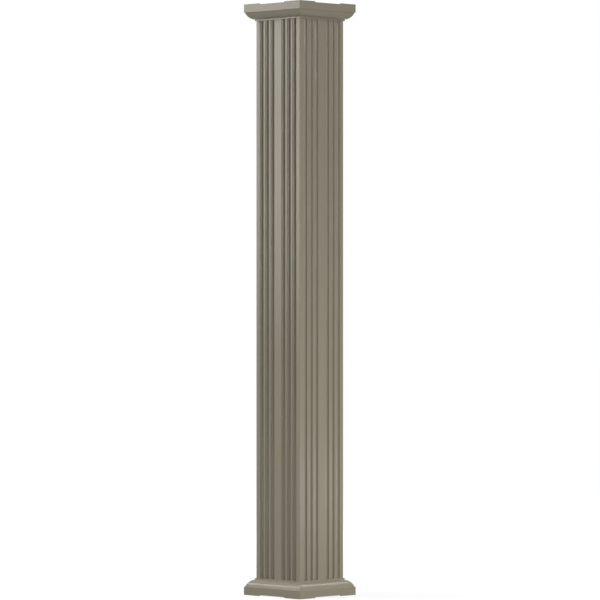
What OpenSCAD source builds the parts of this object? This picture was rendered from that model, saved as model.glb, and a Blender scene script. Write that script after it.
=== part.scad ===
// Square fluted porch column: a hollow shaft with a moulded base and a matching capital.
// The column stands on the XY plane, centred on the Z axis, with its faces square to X and Y.

/* [Column] */
// Height of the whole column, from the floor to the soffit it meets
column_h = 2438.4; // [600:0.1:4000]
// Width of the shaft across its flat faces
shaft_w = 254; // [205:0.5:400]
// Thickness of the shaft's wall, on the flat faces and round the flutes
shaft_wall = 3; // [1.5:0.1:5]
// Radius of the shaft's four outer corners
arris_r = 1.5; // [0.5:0.1:3]

/* [Flutes] */
// Flutes on each side of a face's plain centre strip
flutes_beside_centre = 3; // [1:1:3]
// Radius of a flute's round hollow
flute_r = 11; // [8:0.1:13.5]
// Distance from a face out to the centre line of its flutes' hollows
flute_axis_out = 1; // [0:0.1:4]
// Radius of the rounded lip on each edge of a flute
lip_r = 1.5; // [0.5:0.1:2]

/* [Base and capital] */
// Projection of the plinth from the shaft's face
plinth_out = 36.5; // [30:0.1:60]
// Height of the plinth, from the ends of its pads
plinth_h = 34.3; // [25:0.1:60]
// Width of the flat ledge between the plinth and the ovolo
ledge_w = 3.5; // [2:0.1:6]
// Height of the ovolo, the round moulding above the ledge
ovolo_h = 28.2; // [22:0.1:36]
// Radius of the ovolo
ovolo_r = 42; // [34:0.1:60]
// Projection of the ovolo's narrow end from the shaft's face
ovolo_neck_out = 8.5; // [6.5:0.1:12]
// Height of the collar that the ovolo ends in
collar_h = 7.5; // [4:0.1:15]
// Projection of the collar from the shaft's face
collar_out = 4.5; // [3:0.1:6]
// Thickness of the outer walls of the base and the capital
ring_wall = 4; // [3:0.1:6]
// Length of a corner pad along each side of the plinth
pad_l = 90; // [40:0.5:110]
// Height that the corner pads stand proud of the plinth's outer end
pad_h = 3.8; // [1:0.1:8]
// Clearance between the shaft and the rings, on each side
slip_gap = 0.3; // [0.1:0.05:1]

/* [Hidden] */
$fn = 96;
// Warm grey-brown satin paint
PAINT = [0.55, 0.52, 0.46];
// Extra length on every cut, so that it passes clean through a face
OVERCUT = 2;
// Overlap of a lip's circle and its flute's, which makes them cross cleanly
LIP_OVERLAP = 0.005;

// Spacing of the flutes: a face has a bay for each flute, one for its plain centre strip
// and half a bay at each edge
flute_pitch = shaft_w / (2 * flutes_beside_centre + 2);
// Half width of a flute at the face, where its lips turn flat
lip_reach = flute_r + lip_r - LIP_OVERLAP;
lip_x = sqrt(pow(lip_reach, 2) - pow(flute_axis_out + lip_r, 2));
// Depth below the face at which a lip meets the flute's hollow
lip_depth = (flute_axis_out + lip_r) * flute_r / (flute_r + lip_r) - flute_axis_out;

plinth_w = shaft_w + 2 * plinth_out;
collar_w = shaft_w + 2 * collar_out;
socket_w = shaft_w + 2 * slip_gap;
ring_h = plinth_h + ovolo_h + collar_h;
// Gap between two pads on one side
vent_w = plinth_w - 2 * pad_l;
// The ovolo's arc, from its wide end on the ledge to its narrow end at the collar
ovolo_wide = [shaft_w / 2 + plinth_out - ledge_w, plinth_h];
ovolo_neck = [shaft_w / 2 + ovolo_neck_out, plinth_h + ovolo_h];
ovolo_centre = arc_centre(ovolo_neck, ovolo_wide, ovolo_r);

// Centre of the arc of radius r that runs clockwise from point a to point b
function arc_centre(a, b, r) =
    let (
        chord = b - a,
        half = norm(chord) / 2,
        normal = [chord.y, -chord.x] / norm(chord)
    )
    (a + b) / 2 + normal * sqrt(r * r - half * half);

// A square of width w, centred, with corners rounded to radius r
module rounded_square(w, r) {
    square([w, w - 2 * r], center = true);
    square([w - 2 * r, w], center = true);
    for (x = [-1, 1], y = [-1, 1])
        translate([x, y] * (w / 2 - r))
            circle(r);
}

// Places its children at the mouth of every flute, with +Y pointing out of the face
module at_each_flute() {
    for (face = [0 : 3], side = [-1, 1], count = [1 : flutes_beside_centre])
        rotate(90 * face)
            translate([side * count * flute_pitch, shaft_w / 2])
                children();
}

// Section of one flute's cut: a round hollow whose edges turn over small round lips
module flute() {
    translate([0, flute_axis_out])
        circle(flute_r);
    difference() {
        translate([-lip_x, -lip_depth])
            square([2 * lip_x, lip_depth + OVERCUT]);
        for (side = [-1, 1])
            translate([side * lip_x, -lip_r])
                circle(lip_r);
    }
}

// Section of the space inside the shaft, which keeps one wall thickness round the flutes
module shaft_space() {
    difference() {
        square(shaft_w - 2 * shaft_wall, center = true);
        at_each_flute()
            translate([0, flute_axis_out])
                circle(flute_r + shaft_wall);
    }
}

module shaft() {
    color(PAINT)
        linear_extrude(height = column_h)
            difference() {
                rounded_square(shaft_w, arris_r);
                at_each_flute() flute();
                shaft_space();
            }
}

// A strip centred on the axis, from one height to another
module strip(w, low, high) {
    translate([-w / 2, low])
        square([w, high - low]);
}

// The ovolo's section between two heights, with its arc moved inwards by inset
module ovolo(low, high, inset = 0) {
    strip(2 * ovolo_centre.x, low, high);
    for (side = [0, 1])
        mirror([side, 0])
            intersection() {
                translate(ovolo_centre)
                    circle(ovolo_r - inset);
                translate([ovolo_centre.x, low])
                    square([ovolo_r, high - low]);
            }
}

// Outline of a ring, seen square on to a face, standing on its pads
module ring_outline() {
    strip(plinth_w, 0, plinth_h);
    ovolo(plinth_h, plinth_h + ovolo_h);
    strip(collar_w, plinth_h, ring_h);
}

// Outline of the space inside a ring, which keeps one wall thickness under the mouldings
module ring_space() {
    strip(plinth_w - 2 * ring_wall, -OVERCUT, plinth_h - ring_wall);
    ovolo(plinth_h - 2 * ring_wall, plinth_h + ovolo_h - ring_wall, ring_wall);
}

// The mitred square solid that shows its children's outline on all four sides
module mitred() {
    intersection_for (turn = [0, 90])
        rotate([90, 0, turn])
            linear_extrude(height = plinth_w + 2 * OVERCUT, center = true)
                children();
}

// A square post of width w that reaches past both ends of a ring
module post(w) {
    translate([0, 0, -2 * OVERCUT])
        linear_extrude(height = ring_h + 4 * OVERCUT)
            square(w, center = true);
}

// The ring that trims one end of the shaft: plinth, ledge, ovolo and collar, open below
module ring() {
    difference() {
        mitred() ring_outline();
        difference() {
            mitred() ring_space();
            post(collar_w);
        }
        post(socket_w);
        for (turn = [0, 90])
            rotate(turn)
                cube([vent_w, plinth_w + OVERCUT, 2 * pad_h], center = true);
    }
}

module base() {
    color(PAINT)
        ring();
}

module capital() {
    color(PAINT)
        translate([0, 0, column_h])
            mirror([0, 0, 1])
                ring();
}

shaft();
base();
capital();
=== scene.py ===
"""Looks of a square fluted porch column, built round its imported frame.

The column is one hollow fluted shaft with a moulded base and the same moulding turned over
as its capital, all in one satin warm grey paint. Sizes are in metres, in the frame's axes:
+Z up the column, faces square to X and Y, the origin in the middle of its underside.
"""

import logging
import math
from dataclasses import dataclass, field
from enum import Enum
from typing import Sequence

import bmesh
import bpy
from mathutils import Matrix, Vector


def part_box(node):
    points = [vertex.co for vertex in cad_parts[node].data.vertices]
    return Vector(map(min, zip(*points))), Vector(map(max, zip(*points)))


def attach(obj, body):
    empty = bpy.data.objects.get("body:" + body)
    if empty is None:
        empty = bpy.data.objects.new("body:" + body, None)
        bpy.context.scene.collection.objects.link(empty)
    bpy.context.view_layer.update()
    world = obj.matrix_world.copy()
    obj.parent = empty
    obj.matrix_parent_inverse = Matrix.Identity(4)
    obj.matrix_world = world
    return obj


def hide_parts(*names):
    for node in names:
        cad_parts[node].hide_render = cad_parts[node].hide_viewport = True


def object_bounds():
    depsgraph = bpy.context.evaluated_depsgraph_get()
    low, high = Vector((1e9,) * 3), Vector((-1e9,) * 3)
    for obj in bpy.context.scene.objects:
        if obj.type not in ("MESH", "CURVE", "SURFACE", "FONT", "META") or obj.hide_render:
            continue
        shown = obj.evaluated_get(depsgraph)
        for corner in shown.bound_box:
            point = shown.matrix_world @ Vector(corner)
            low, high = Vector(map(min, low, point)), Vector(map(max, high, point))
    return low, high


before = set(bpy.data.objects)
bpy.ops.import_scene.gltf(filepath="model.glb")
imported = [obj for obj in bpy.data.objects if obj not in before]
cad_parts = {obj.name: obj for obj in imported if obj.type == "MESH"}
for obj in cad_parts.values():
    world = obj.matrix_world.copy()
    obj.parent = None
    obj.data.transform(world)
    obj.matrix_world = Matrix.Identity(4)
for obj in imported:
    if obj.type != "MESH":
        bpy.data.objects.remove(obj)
cad_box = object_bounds()

LOG = logging.getLogger("column")
MM = 0.001
ROOT = "root"
# Points closer than this are one point
MERGE = 0.004 * MM
# Edges that turn by more than this stay sharp
CREASE = math.radians(32)
RIGHT_ANGLE = math.pi / 2

Socket = bpy.types.NodeSocket
Point = tuple[float, float]


class Graph:
    """Adds nodes to one tree, and sets or links their inputs as it goes."""

    def __init__(self, tree: bpy.types.NodeTree) -> None:
        """Takes the tree that the nodes go in.

        Args:
            tree: a shader or geometry node tree.
        """
        self.tree = tree

    def node(self, kind: str, inputs: dict | None = None, **settings: object) -> bpy.types.Node:
        """Adds one node.

        Args:
            kind: the node's type name.
            inputs: socket name or number, with a plain value or a socket to link from.
            settings: properties of the node itself.

        Returns:
            The new node.
        """
        made = self.tree.nodes.new(kind)
        for name, value in settings.items():
            setattr(made, name, value)
        for key, value in (inputs or {}).items():
            if isinstance(value, Socket):
                self.tree.links.new(value, made.inputs[key])
            else:
                made.inputs[key].default_value = value
        return made

    def math(self, operation: str, *values: float | Socket) -> Socket:
        """Adds a Math node and returns its result."""
        return self.node("ShaderNodeMath", dict(enumerate(values)), operation=operation).outputs[0]

    def vector(self, x: float | Socket, y: float | Socket, z: float | Socket = 0.0) -> Socket:
        """Joins three numbers into a vector."""
        return self.node("ShaderNodeCombineXYZ", {0: x, 1: y, 2: z}).outputs[0]

    def join(self, parts: Sequence[Socket]) -> Socket:
        """Joins several geometries into one.

        Args:
            parts: the geometries.

        Returns:
            All of them together.
        """
        made = self.node("GeometryNodeJoinGeometry")
        for part in parts:
            self.tree.links.new(part, made.inputs[0])
        return made.outputs[0]

    def moved(self, geometry: Socket, **how: object) -> Socket:
        """Moves, turns or scales a geometry.

        Args:
            geometry: what is moved.
            how: Translation, Rotation or Scale.

        Returns:
            The moved geometry.
        """
        return self.node("GeometryNodeTransform", {"Geometry": geometry, **how}).outputs[0]

    def line(self, start: Socket, end: Socket) -> Socket:
        """Draws a straight curve between two points."""
        ends = {"Start": start, "End": end}
        return self.node("GeometryNodeCurvePrimitiveLine", ends).outputs[0]

    def arc(self, radius: Socket, start: float, sweep: float | Socket, steps: int) -> Socket:
        """Draws an arc about the origin.

        Args:
            radius: the arc's radius.
            start: the angle it starts at, in radians.
            sweep: the angle it turns through.
            steps: how many straight steps stand for it.

        Returns:
            The arc's curve.
        """
        sizes = {"Resolution": steps + 1, "Radius": radius}
        sizes |= {"Start Angle": start, "Sweep Angle": sweep}
        return self.node("GeometryNodeCurveArc", sizes, mode="RADIUS").outputs[0]

    def merged(self, geometry: Socket) -> Socket:
        """Makes one point of those that lie together."""
        inputs = {"Geometry": geometry, "Distance": MERGE}
        return self.node("GeometryNodeMergeByDistance", inputs).outputs[0]

    def number(self) -> Socket:
        """Gives each point its number, from 0."""
        return self.node("GeometryNodeInputIndex").outputs[0]


@dataclass(frozen=True)
class SatinPaint:
    """A factory-sprayed satin paint on metal, with the faint texture of its substrate.

    The colour drifts a little over the length of a piece, the film has a fine orange peel,
    and on an extrusion the die's long lines show faintly through it.
    """

    name: str
    colour: tuple[float, float, float] = (0.272, 0.243, 0.182)
    roughness: float = 0.22
    specular: float = 0.2
    peel_size: float = 3 * MM
    peel_depth: float = 0.02 * MM
    drift: float = 0.02
    drift_size: float = 350 * MM
    mottle_size: float = 9 * MM
    mottle_share: float = 0.3
    gloss_change: float = 0.012
    gloss_size: float = 45 * MM
    die_lines: float = 0.0
    line_pitch: float = 2.4 * MM
    line_squash: float = 0.002
    line_tone: float = 0.25
    line_gloss: float = 0.5
    line_relief: float = 4.0
    noise_range: tuple[float, float] = (0.3, 0.7)

    def material(self) -> bpy.types.Material:
        """Builds the paint as a node material, or finds the one that is built already.

        Returns:
            The material.
        """
        made = bpy.data.materials.get(self.name)
        if made:
            return made
        made = bpy.data.materials.new(self.name)
        made.use_nodes = True
        made.node_tree.nodes.clear()
        graph = Graph(made.node_tree)
        place = graph.node("ShaderNodeTexCoord").outputs["Object"]
        shade = graph.node(
            "ShaderNodeBsdfPrincipled",
            {
                "Base Color": self._tone(graph, place),
                "Roughness": self._gloss(graph, place),
                "Normal": self._relief(graph, place),
                "Specular IOR Level": self.specular,
            },
        )
        graph.node("ShaderNodeOutputMaterial", {"Surface": shade.outputs[0]})
        return made

    def _noise(self, graph: Graph, place: Socket, size: float, detail: float = 2.0) -> Socket:
        """Adds a noise.

        Args:
            graph: where its nodes go.
            place: the point that is coloured.
            size: about how wide its blots are.
            detail: how many finer layers it has.

        Returns:
            The noise's strength, from 0 to 1.
        """
        sizes = {"Vector": place, "Scale": 1 / size, "Detail": detail}
        return graph.node("ShaderNodeTexNoise", sizes).outputs["Fac"]

    def _lines(self, graph: Graph, place: Socket) -> Socket:
        """Adds the die's lines: fine across the metal and very long along it.

        Args:
            graph: where its nodes go.
            place: the point that is coloured.

        Returns:
            The lines' strength, from 0 to 1.
        """
        scale = (1, 1, self.line_squash)
        stretched = graph.node("ShaderNodeMapping", {"Vector": place, "Scale": scale})
        return self._noise(graph, stretched.outputs[0], self.line_pitch, detail=1.0)

    def _spread(self, graph: Graph, share: Socket, low: float, high: float) -> Socket:
        """Maps a noise's usual range onto another range.

        Args:
            graph: where its nodes go.
            share: the noise's strength.
            low: what the range's lower end becomes.
            high: what its upper end becomes.

        Returns:
            The mapped value.
        """
        least, most = self.noise_range
        sizes = {"Value": share, "From Min": least, "From Max": most, "To Min": low, "To Max": high}
        return graph.node("ShaderNodeMapRange", sizes).outputs[0]

    def _tone(self, graph: Graph, place: Socket) -> Socket:
        """Colours the paint, a touch lighter and darker in broad, soft drifts.

        Args:
            graph: where its nodes go.
            place: the point that is coloured.

        Returns:
            The paint's colour.
        """
        broad = self._noise(graph, place, self.drift_size)
        fine = self._noise(graph, place, self.mottle_size, detail=4.0)
        broad = graph.math("MULTIPLY", broad, 1 - self.mottle_share)
        fine = graph.math("MULTIPLY", fine, self.mottle_share)
        both = graph.math("ADD", broad, fine)
        level = self._spread(graph, both, 1 - self.drift, 1 + self.drift)
        if self.die_lines:
            change = self.die_lines * self.line_tone
            lined = self._spread(graph, self._lines(graph, place), 1 - change, 1 + change)
            level = graph.math("MULTIPLY", level, lined)
        scale = {"Scale": level, "Vector": self.colour}
        return graph.node("ShaderNodeVectorMath", scale, operation="SCALE").outputs[0]

    def _gloss(self, graph: Graph, place: Socket) -> Socket:
        """Sets the sheen, a little uneven as a sprayed film is.

        Args:
            graph: where its nodes go.
            place: the point that is coloured.

        Returns:
            The paint's roughness.
        """
        cloud = self._noise(graph, place, self.gloss_size, detail=3.0)
        low, high = self.roughness - self.gloss_change, self.roughness + self.gloss_change
        rough = self._spread(graph, cloud, low, high)
        if self.die_lines:
            change = self.die_lines * self.line_gloss
            lined = self._spread(graph, self._lines(graph, place), -change, change)
            rough = graph.math("ADD", rough, lined)
        return rough

    def _relief(self, graph: Graph, place: Socket) -> Socket:
        """Raises the orange peel, and under it the die's lines.

        Args:
            graph: where its nodes go.
            place: the point that is coloured.

        Returns:
            The direction that the bumpy paint faces.
        """
        height = self._noise(graph, place, self.peel_size, detail=1.5)
        if self.die_lines:
            change = self.die_lines * self.line_relief
            lined = graph.math("MULTIPLY", self._lines(graph, place), change)
            height = graph.math("ADD", height, lined)
        sizes = {"Height": height, "Distance": self.peel_depth}
        return graph.node("ShaderNodeBump", sizes).outputs["Normal"]


def shown(mesh: bpy.types.Mesh, name: str) -> bpy.types.Object:
    """Turns a finished mesh into a piece that rides with the column.

    Args:
        mesh: a closed mesh, already in its place.
        name: the piece's name.

    Returns:
        The piece.
    """
    work = bmesh.new()
    work.from_mesh(mesh)
    bmesh.ops.remove_doubles(work, verts=work.verts, dist=MERGE)
    bmesh.ops.dissolve_degenerate(work, edges=work.edges, dist=MERGE)
    bmesh.ops.recalc_face_normals(work, faces=work.faces)
    work.to_mesh(mesh)
    work.free()
    mesh.shade_smooth()
    mesh.set_sharp_from_angle(angle=CREASE)
    piece = bpy.data.objects.new(name, mesh)
    bpy.context.scene.collection.objects.link(piece)
    return piece


@dataclass
class FlutedShaft:
    """The square shaft: three flutes on each side of a plain strip, on all four faces."""

    paint: SatinPaint
    node: str = "shaft"
    slot: str = "shaft_paint"
    flutes_beside_centre: int = 3
    flute_radius: float = 11 * MM
    flute_axis_out: float = 1 * MM
    lip_radius: float = 1.5 * MM
    arris_radius: float = 1.5 * MM
    wall: float = 3 * MM
    land: float = 0.5 * MM
    tolerance: float = 0.1
    lengths: int = 24
    flute_steps: int = 16
    lip_steps: int = 6
    arris_steps: int = 6

    def build(self) -> bpy.types.Object:
        """Builds the shaft with a node tree and makes it a plain mesh.

        Returns:
            The shaft's piece.
        """
        low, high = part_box(self.node)
        sizes = {
            "Height": high.z - low.z,
            "Width": high.x - low.x,
            "Flute radius": self.flute_radius,
            "Flute axis": self.flute_axis_out,
            "Lip radius": self.lip_radius,
            "Arris radius": self.arris_radius,
            "Wall": self.wall,
            "Land": self.land,
            "Flutes beside centre": self.flutes_beside_centre,
            "Lengths": self.lengths,
            "Paint": self.paint.material(),
        }
        tree, given = self._tree(sizes)
        host = bpy.data.objects.new("shaft_host", bpy.data.meshes.new("shaft_host"))
        bpy.context.scene.collection.objects.link(host)
        grown = host.modifiers.new("shaft", "NODES")
        grown.node_group = tree
        for name, value in sizes.items():
            grown[given[name]] = value
        depsgraph = bpy.context.evaluated_depsgraph_get()
        mesh = bpy.data.meshes.new_from_object(host.evaluated_get(depsgraph), depsgraph=depsgraph)
        bpy.data.objects.remove(host)
        mesh.materials.pop(index=0)  # the empty slot that Set Material leaves
        mesh.name = "fluted_shaft"
        return shown(mesh, "fluted_shaft")

    def dress(self, piece: bpy.types.Object) -> None:
        """Sets the shaft's piece to ride with the column and hides the part it replaces."""
        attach(piece, ROOT)
        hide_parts(self.node)

    def _tree(self, sizes: dict[str, object]) -> tuple[bpy.types.NodeTree, dict[str, str]]:
        """Makes the node tree, with one named input for each size.

        Args:
            sizes: the inputs' names, each with the value it will get.

        Returns:
            The tree, and each input's identifier by its name.
        """
        tree = bpy.data.node_groups.new("fluted_shaft", "GeometryNodeTree")
        kinds = {int: "NodeSocketInt", float: "NodeSocketFloat"}
        given = {}
        for name, value in sizes.items():
            kind = kinds.get(type(value), "NodeSocketMaterial")
            socket = tree.interface.new_socket(name, in_out="INPUT", socket_type=kind)
            given[name] = socket.identifier
        tree.interface.new_socket("Shaft", in_out="OUTPUT", socket_type="NodeSocketGeometry")
        graph = Graph(tree)
        size = graph.node("NodeGroupInput").outputs
        outside, inside = self._outside(graph, size), self._inside(graph, size)
        section = graph.join([outside, inside])
        path = graph.line(graph.vector(0, 0, 0), graph.vector(0, 0, size["Height"]))
        rings = graph.math("ADD", size["Lengths"], 1)
        path = graph.node("GeometryNodeResampleCurve", {"Curve": path, "Count": rings}).outputs[0]
        swept = {"Curve": path, "Profile Curve": section}
        walls = graph.node("GeometryNodeCurveToMesh", swept).outputs[0]
        foot = graph.node("GeometryNodeFillCurve", {"Curve": section}, mode="TRIANGLES").outputs[0]
        head = graph.moved(foot, Translation=graph.vector(0, 0, size["Height"]))
        whole = graph.join([walls, foot, head])
        whole = graph.node("GeometryNodeRealizeInstances", {0: whole}).outputs[0]
        painted = {"Geometry": graph.merged(whole), "Material": size["Paint"]}
        graph.node("NodeGroupOutput", {0: graph.node("GeometryNodeSetMaterial", painted).outputs[0]})
        return tree, given

    def _outside(self, graph: Graph, size: dict) -> Socket:
        """Draws the shaft's outer outline.

        Args:
            graph: where its nodes go.
            size: the tree's inputs.

        Returns:
            One closed curve.
        """
        radius, axis, lip = size["Flute radius"], size["Flute axis"], size["Lip radius"]
        reach, depth = graph.math("ADD", radius, lip), graph.math("ADD", axis, lip)
        lip_x = self._side(graph, reach, depth)
        lean = graph.math("ARCSINE", graph.math("DIVIDE", depth, reach))
        quarter = graph.math("SUBTRACT", RIGHT_ANGLE, lean)
        hollow = graph.arc(radius, 3 * RIGHT_ANGLE, quarter, self.flute_steps)
        hollow = graph.moved(hollow, Translation=graph.vector(0, axis))
        edge = graph.arc(lip, RIGHT_ANGLE, quarter, self.lip_steps)
        edge = graph.moved(edge, Translation=graph.vector(lip_x, graph.math("MULTIPLY", lip, -1)))
        return self._loop(graph, size, [hollow, edge], lip_x, 0.0, size["Arris radius"])

    def _inside(self, graph: Graph, size: dict) -> Socket:
        """Draws the outline of the space inside, one wall in from the outer one.

        Args:
            graph: where its nodes go.
            size: the tree's inputs.

        Returns:
            One closed curve.
        """
        radius = graph.math("ADD", size["Flute radius"], size["Wall"])
        depth = graph.math("ADD", size["Flute axis"], size["Wall"])
        half_w = self._side(graph, radius, depth)
        lean = graph.math("ARCSINE", graph.math("DIVIDE", depth, radius))
        sweep = graph.math("SUBTRACT", RIGHT_ANGLE, lean)
        bulge = graph.arc(radius, 3 * RIGHT_ANGLE, sweep, self.flute_steps)
        bulge = graph.moved(bulge, Translation=graph.vector(0, size["Flute axis"]))
        return self._loop(graph, size, [bulge], half_w, size["Wall"], MERGE)

    def _side(self, graph: Graph, slope: Socket, rise: Socket) -> Socket:
        """Works out a right triangle's third side."""
        squares = graph.math("POWER", slope, 2), graph.math("POWER", rise, 2)
        return graph.math("SQRT", graph.math("SUBTRACT", *squares))

    def _loop(
        self,
        graph: Graph,
        size: dict,
        half: list[Socket],
        half_w: Socket,
        inset: float | Socket,
        corner: float | Socket,
    ) -> Socket:
        """Sets a half flute's curves along all four faces and closes them into one loop.

        Args:
            graph: where its nodes go.
            size: the tree's inputs.
            half: the right half of one flute, drawn about the middle of its mouth.
            half_w: where that half meets the flat of the face.
            inset: how far in from the shaft's face the flat lies.
            corner: the radius of the loop's corners.

        Returns:
            One closed curve, seen from above.
        """
        count = size["Flutes beside centre"]
        half_face = graph.math("MULTIPLY", size["Width"], 0.5)
        bays = graph.math("MULTIPLY", graph.math("ADD", count, 1), 2)
        pitch = graph.math("DIVIDE", size["Width"], bays)
        half_bay = graph.math("MULTIPLY", pitch, 0.5)
        flat_y = graph.math("MULTIPLY", inset, -1)
        land_x = graph.math("ADD", half_w, size["Land"])
        mouth, land = graph.vector(half_w, flat_y), graph.vector(land_x, flat_y)
        end = graph.vector(half_bay, flat_y)
        right = self._edges(graph, [*half, graph.line(mouth, land), graph.line(land, end)])
        flute = graph.join([right, graph.moved(right, Scale=(-1, 1, 1))])
        plain = self._edges(graph, [graph.line(graph.vector(0, flat_y), end)])
        plain = graph.join([plain, graph.moved(plain, Scale=(-1, 1, 1))])

        first = graph.math("MULTIPLY", graph.math("MULTIPLY", pitch, count), -1)
        number = graph.math("ADD", graph.math("MULTIPLY", count, 2), 1)
        start = graph.vector(first, half_face)
        spots = {"Count": number, "Start Location": start, "Offset": graph.vector(pitch, 0)}
        spots = graph.node("GeometryNodeMeshLine", spots, mode="OFFSET").outputs[0]
        middle = graph.math("COMPARE", graph.number(), count, self.tolerance)
        others = graph.math("SUBTRACT", 1, middle)
        plains = self._placed(graph, spots, plain, middle)
        flutes = self._placed(graph, spots, flute, others)

        line_y = graph.math("SUBTRACT", half_face, inset)
        turn_at = graph.math("SUBTRACT", line_y, corner)
        strip_x = graph.math("ADD", graph.math("MULTIPLY", pitch, count), half_bay)
        stop_x = graph.math("SUBTRACT", turn_at, size["Land"])
        stops = [graph.vector(x, line_y) for x in (strip_x, stop_x, turn_at)]
        strip = self._edges(graph, [graph.line(*stops[:2]), graph.line(*stops[1:])])
        mirrored = graph.moved(strip, Scale=(-1, 1, 1))
        arris = graph.arc(corner, 0.0, RIGHT_ANGLE, self.arris_steps)
        arris = graph.moved(arris, Translation=graph.vector(turn_at, turn_at))
        side = graph.join([plains, flutes, strip, mirrored, self._edges(graph, [arris])])

        four = {"Count": 4, "Offset": (0, 0, 0)}
        four = graph.node("GeometryNodeMeshLine", four, mode="OFFSET").outputs[0]
        angle = graph.math("MULTIPLY", graph.number(), RIGHT_ANGLE)
        around = {"Points": four, "Instance": side, "Rotation": graph.vector(0, 0, angle)}
        around = graph.node("GeometryNodeInstanceOnPoints", around).outputs[0]
        around = graph.node("GeometryNodeRealizeInstances", {0: around}).outputs[0]
        return graph.node("GeometryNodeMeshToCurve", {"Mesh": graph.merged(around)}).outputs[0]

    def _edges(self, graph: Graph, curves: Sequence[Socket]) -> Socket:
        """Turns curves into a chain of plain edges."""
        return graph.node("GeometryNodeCurveToMesh", {"Curve": graph.join(curves)}).outputs[0]

    def _placed(self, graph: Graph, spots: Socket, what: Socket, where: Socket) -> Socket:
        """Sets a copy at each chosen spot."""
        inputs = {"Points": spots, "Instance": what, "Selection": where}
        return graph.node("GeometryNodeInstanceOnPoints", inputs).outputs[0]


class End(Enum):
    """Which end of the shaft a moulding trims."""

    FOOT = "base"
    HEAD = "capital"


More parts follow.
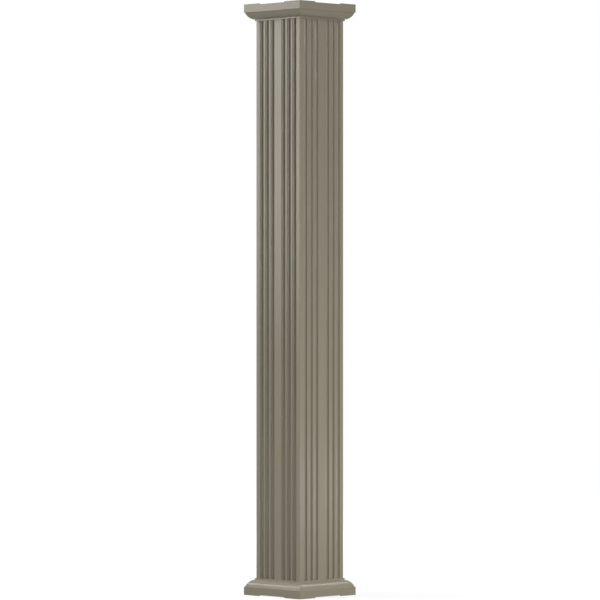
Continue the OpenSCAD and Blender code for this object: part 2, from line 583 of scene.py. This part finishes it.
@dataclass
class MouldingRing:
    """The square moulding at one end: plinth, ledge, ovolo and collar, hollow behind.

    Beside each rounded edge runs a narrow landing, so that the flats stay flat in the light.
    """

    paint: SatinPaint
    end: End
    slot: str = "moulding_paint"
    plinth_height: float = 34.3 * MM
    ledge: float = 3.5 * MM
    ovolo_height: float = 28.2 * MM
    ovolo_radius: float = 42 * MM
    ovolo_neck_out: float = 8.5 * MM
    collar_out: float = 4.5 * MM
    wall: float = 4 * MM
    pad_length: float = 90 * MM
    pad_height: float = 3.8 * MM
    slip: float = 0.3 * MM
    arris: float = 0.8 * MM
    fillet: float = 0.5 * MM
    landing: float = 0.3 * MM
    ovolo_steps: int = 20
    corner_steps: int = 5
    shaft_half: float = field(init=False)
    half: float = field(init=False)
    height: float = field(init=False)
    column_height: float = field(init=False)

    def __post_init__(self) -> None:
        """Reads the overall sizes from the frame."""
        low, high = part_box(self.end.value)
        self.half = high.x
        self.height = high.z - low.z
        self.shaft_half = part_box("shaft")[1].x
        self.column_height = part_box("shaft")[1].z

    def build(self) -> bpy.types.Object:
        """Sweeps the moulding's outline round the square.

        Returns:
            The ring's piece.
        """
        outline = self._outline()
        stations = self._stations()
        mesh = bpy.data.meshes.new(self.end.value + "_moulding")
        work = bmesh.new()
        loops = [[work.verts.new(self._place(p, station)) for p in outline] for station in stations]
        for here, there in zip(loops, loops[1:] + loops[:1]):
            for i in range(len(outline)):
                j = (i + 1) % len(outline)
                work.faces.new((here[i], here[j], there[j], there[i]))
        work.to_mesh(mesh)
        work.free()
        mesh.materials.append(self.paint.material())
        return shown(mesh, self.end.value + "_moulding")

    def dress(self, piece: bpy.types.Object) -> None:
        """Sets the ring's piece to ride with the column and hides the part it replaces."""
        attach(piece, ROOT)
        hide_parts(self.end.value)

    def _ovolo(self, inset: float, low: float, high: float) -> list[Point]:
        """Draws the ovolo's arc between two heights.

        Args:
            inset: how far inside the moulding's face the arc runs.
            low: the height it starts at.
            high: the height it ends at.

        Returns:
            Points from low to high, as half widths and heights.
        """
        wide = Vector((self.half - self.ledge, self.plinth_height))
        neck = Vector((self.shaft_half + self.ovolo_neck_out, self.plinth_height + self.ovolo_height))
        chord = wide - neck
        normal = Vector((chord.y, -chord.x)).normalized()
        rise = math.sqrt(self.ovolo_radius**2 - chord.length_squared / 4)
        centre = (wide + neck) / 2 + normal * rise
        radius = self.ovolo_radius - inset
        first, last = [math.asin((z - centre.y) / radius) for z in (low, high)]
        steps = self.ovolo_steps
        turns = [first + (last - first) * i / steps for i in range(steps + 1)]
        return [(centre.x + radius * math.cos(t), centre.y + radius * math.sin(t)) for t in turns]

    def _outline(self) -> list[Point]:
        """Draws the ring's closed section, from the foot of its outer face upwards.

        Returns:
            Points as half widths and heights above the ring's outer end.
        """
        top = self.plinth_height + self.ovolo_height
        collar = self.shaft_half + self.collar_out
        socket = self.shaft_half + self.slip
        ceiling = self.plinth_height - self.wall
        arc = self._ovolo(0.0, self.plinth_height, top)
        vault = self._ovolo(self.wall, ceiling, top - self.wall)[::-1]
        corners = [
            (self.half, 0.0, 0.0),
            (self.half, self.pad_height, 0.0),
            (self.half, self.plinth_height, self.arris),
            (*arc[0], self.fillet),
            *[(x, z, 0.0) for x, z in arc[1:-1]],
            (*arc[-1], self.fillet),
            (collar, top, self.fillet),
            (collar, self.height, self.arris),
            (socket, self.height, self.fillet),
            (socket, self.pad_height, 0.0),
            (socket, 0.0, 0.0),
            (collar, 0.0, 0.0),
            (collar, self.pad_height, 0.0),
            (collar, top - self.wall, self.arris),
            *[(x, z, 0.0) for x, z in vault],
            (self.half - self.wall, ceiling, self.arris),
            (self.half - self.wall, self.pad_height, 0.0),
            (self.half - self.wall, 0.0, 0.0),
        ]
        points = []
        for i, corner in enumerate(corners):
            points += self._rounded(corners[i - 1], corner, corners[(i + 1) % len(corners)])
        return points

    def _rounded(self, before: tuple, corner: tuple, after: tuple) -> list[Point]:
        """Rounds one corner of an outline, with a flat landing on each side.

        Args:
            before: the corner before it, as half width, height and radius.
            corner: the corner itself.
            after: the corner after it.

        Returns:
            The points that stand for the corner.
        """
        at, radius = Vector(corner[:2]), corner[2]
        if not radius:
            return [tuple(at)]
        back = (Vector(before[:2]) - at).normalized()
        ahead = (Vector(after[:2]) - at).normalized()
        half_angle = back.angle(ahead) / 2
        reach = radius / math.tan(half_angle)
        centre = at + (back + ahead).normalized() * (radius / math.sin(half_angle))
        start, end = at + back * reach, at + ahead * reach
        sweep = (start - centre).angle_signed(end - centre)
        arm = start - centre
        points = [tuple(start + back * self.landing)]
        for i in range(self.corner_steps + 1):
            turn = -sweep * i / self.corner_steps
            x = arm.x * math.cos(turn) - arm.y * math.sin(turn)
            y = arm.x * math.sin(turn) + arm.y * math.cos(turn)
            points.append((centre.x + x, centre.y + y))
        return [*points, tuple(end + ahead * self.landing)]

    def _stations(self) -> list[tuple[int, int, float, bool]]:
        """Lists the places round the square at which the outline is set.

        Returns:
            For each place its side, its step round the corner after that side, its distance
            from the middle of the side or 0 at a corner, and whether it is on a pad.
        """
        vent = self.half - self.pad_length
        steps = range(len(self._corner(self.half)))
        places = []
        for side in range(4):
            places += [(side, 0, -vent, True), (side, 0, -vent, False)]
            places += [(side, 0, vent, False), (side, 0, vent, True)]
            places += [(side, step, 0.0, True) for step in steps]
        return places

    def _corner(self, half: float) -> list[Vector]:
        """Rounds one corner of the square, with a flat landing on each side.

        Args:
            half: the square's half width.

        Returns:
            The points that stand for the corner.
        """
        middle = half - self.arris
        arc = []
        for i in range(self.corner_steps + 1):
            turn = RIGHT_ANGLE * i / self.corner_steps
            x = middle + self.arris * math.cos(turn)
            y = middle + self.arris * math.sin(turn)
            arc.append(Vector((x, y)))
        stop = middle - self.landing
        return [Vector((half, stop)), *arc, Vector((stop, half))]

    def _place(self, point: Point, station: tuple[int, int, float, bool]) -> Vector:
        """Sets one point of the outline at one place round the square.

        Args:
            point: its half width and height.
            station: the place, as listed by _stations.

        Returns:
            The point in the column's frame.
        """
        half, height = point
        side, step, along, on_pad = station
        if not on_pad:
            height = max(height, self.pad_height)
        local = Vector((half, along)) if along else self._corner(half)[step]
        angle = side * RIGHT_ANGLE
        x = local.x * math.cos(angle) - local.y * math.sin(angle)
        y = local.x * math.sin(angle) + local.y * math.cos(angle)
        return Vector((x, y, height if self.end is End.FOOT else self.column_height - height))


@dataclass(frozen=True)
class Lamp:
    """One soft lamp that faces the column.

    Its azimuth is to the camera's right, its power is in watts and it is `tall` times as
    high as it is wide.
    """

    name: str
    azimuth: float
    height: float
    power: float
    size: float = 0.6
    distance: float = 4.0
    tall: float = 1.0


@dataclass
class Studio:
    """A plain pale floor, soft lamps and the camera."""

    azimuth: float = 45.0
    distance: float = 15.0
    lens: float = 217.9
    sensor: float = 36.0
    view_reach: float = 200.0
    shift: tuple[float, float] = (0.00035, -0.00055)
    floor_size: float = 60.0
    floor_tone: float = 0.25
    glow_near: float = 0.8
    glow_reach: tuple[float, float] = (0.6, 5.0)
    ambient: float = 0.004
    aim_height: float = 1.2
    lamps: tuple[Lamp, ...] = (
        Lamp("key", -97, 5.0, 168, tall=3.0),
        Lamp("left_back", -110, 3.0, 22),
        Lamp("sheen_top", -88, 2.65, 17, size=1.4, tall=0.35),
        Lamp("sheen_upper", -87, 2.2, 7, size=0.8, tall=0.6),
        Lamp("sheen_lower", -87, 1.8, 7, size=0.8, tall=0.6),
        Lamp("sheen_foot", -87, 1.4, 5, size=0.8, tall=0.6),
        Lamp("left_low", -45, 0.35, 5.5, size=0.4, distance=1.8),
        Lamp("front_upper", 20, 2.6, 42),
        Lamp("front_middle", 20, 1.6, 28),
        Lamp("front_low", 50, 0.35, 7, size=0.4, distance=1.8),
        Lamp("right_low", 75, 0.35, 5.5, size=0.4, distance=1.8),
        Lamp("right_high", 70, 5.0, 55),
        Lamp("right_rim", 123, 3.9, 42, size=0.8, tall=2.5),
        Lamp("back", 175, 2.4, 60, size=2.0),
    )

    def build(self) -> None:
        """Lays the floor, hangs the lamps, lights the air and sets up the camera."""
        self._floor()
        self._air()
        for lamp in self.lamps:
            self._hang(lamp)
        self._camera()
        bpy.context.scene.view_settings.view_transform = "Standard"

    def _seen(self, graph: Graph) -> Socket:
        """Tells what is seen, directly or in a gloss or a glass, from plain light.

        Args:
            graph: where its nodes go.

        Returns:
            1 for what is seen and 0 for plain light.
        """
        path = graph.node("ShaderNodeLightPath").outputs
        either = graph.math("MAXIMUM", path["Is Camera Ray"], path["Is Glossy Ray"])
        return graph.math("MAXIMUM", either, path["Is Transmission Ray"])

    def _floor(self) -> None:
        """Lays the pale floor, which looks white but keeps the column's shadow."""
        mesh = bpy.data.meshes.new("floor")
        half = self.floor_size / 2
        corners = [(x * half, y * half, 0.0) for x, y in ((-1, -1), (1, -1), (1, 1), (-1, 1))]
        mesh.from_pydata(corners, [], [(0, 1, 2, 3)])
        floor = bpy.data.objects.new("floor", mesh)
        bpy.context.scene.collection.objects.link(floor)
        made = bpy.data.materials.new("pale_floor")
        made.use_nodes = True
        made.node_tree.nodes.clear()
        graph = Graph(made.node_tree)
        tone = (self.floor_tone, self.floor_tone, self.floor_tone, 1)
        lit = graph.node("ShaderNodeBsdfDiffuse", {"Color": tone}).outputs[0]
        place = graph.node("ShaderNodeTexCoord").outputs["Object"]
        away = graph.node("ShaderNodeVectorMath", {0: place}, operation="LENGTH").outputs["Value"]
        near, far = self.glow_reach
        rise = {"Value": away, "From Min": near, "From Max": far, "To Min": self.glow_near}
        lift = graph.node("ShaderNodeMapRange", rise, interpolation_type="SMOOTHSTEP").outputs[0]
        lift = graph.math("MULTIPLY", self._seen(graph), lift)
        glow = graph.node("ShaderNodeEmission", {"Strength": lift}).outputs[0]
        both = graph.node("ShaderNodeAddShader", {0: lit, 1: glow}).outputs[0]
        graph.node("ShaderNodeOutputMaterial", {"Surface": both})
        mesh.materials.append(made)

    def _air(self) -> None:
        """Fills the room with even light, white where it is seen."""
        world = bpy.data.worlds.new("studio")
        bpy.context.scene.world = world
        world.use_nodes = True
        world.node_tree.nodes.clear()
        graph = Graph(world.node_tree)
        sizes = {"Value": self._seen(graph), "To Min": self.ambient}
        level = graph.node("ShaderNodeMapRange", sizes).outputs[0]
        white = {"Color": (1, 1, 1, 1), "Strength": level}
        glow = graph.node("ShaderNodeBackground", white).outputs[0]
        graph.node("ShaderNodeOutputWorld", {"Surface": glow})

    def _around(self, azimuth: float, distance: float, height: float) -> Vector:
        """Finds a place by its angle from the camera's side.

        Args:
            azimuth: the angle in degrees, to the camera's right.
            distance: how far it is from the column's axis.
            height: how far it is above the floor.

        Returns:
            The place.
        """
        angle = math.radians(self.azimuth + azimuth)
        return Vector((math.sin(angle) * distance, -math.cos(angle) * distance, height))

    def _hang(self, lamp: Lamp) -> None:
        """Hangs one lamp and turns it to the column.

        Args:
            lamp: where it hangs, its size and its power.
        """
        light = bpy.data.lights.new(lamp.name, "AREA")
        light.shape = "RECTANGLE"
        light.size = lamp.size
        light.size_y = lamp.size * lamp.tall
        light.energy = lamp.power
        hung = bpy.data.objects.new(lamp.name, light)
        hung.location = self._around(lamp.azimuth, lamp.distance, lamp.height)
        away = hung.location - Vector((0, 0, min(lamp.height, self.aim_height)))
        hung.rotation_euler = away.to_track_quat("Z", "Y").to_euler()
        hung.visible_camera = False
        bpy.context.scene.collection.objects.link(hung)

    def _camera(self) -> None:
        """Sets the camera level with the middle of the column, facing a corner."""
        lens = bpy.data.cameras.new("camera")
        lens.lens = self.lens
        lens.sensor_width = self.sensor
        lens.clip_end = self.view_reach
        lens.shift_x, lens.shift_y = self.shift
        camera = bpy.data.objects.new("camera", lens)
        middle = (cad_box[0].z + cad_box[1].z) / 2
        camera.location = self._around(0.0, self.distance, middle)
        level = Vector((camera.location.x, camera.location.y, 0.0))
        camera.rotation_euler = level.to_track_quat("Z", "Y").to_euler()
        bpy.context.scene.collection.objects.link(camera)
        bpy.context.scene.camera = camera


def main() -> None:
    """Builds the column and its studio, and notes each piece's size."""
    logging.basicConfig(level=logging.INFO, format="%(name)s: %(message)s")
    extruded = SatinPaint("satin_on_extrusion", die_lines=0.06)
    cast = SatinPaint("satin_on_casting", peel_size=3.5 * MM, peel_depth=0.03 * MM)
    parts = [FlutedShaft(extruded), MouldingRing(cast, End.FOOT), MouldingRing(cast, End.HEAD)]
    for part in parts:
        piece = part.build()
        part.dress(piece)
        size = " x ".join(f"{d:.4f}" for d in piece.dimensions)
        LOG.info("%s: %d faces, %s m", piece.name, len(piece.data.polygons), size)
    Studio().build()


if __name__ == "__main__":
    main()
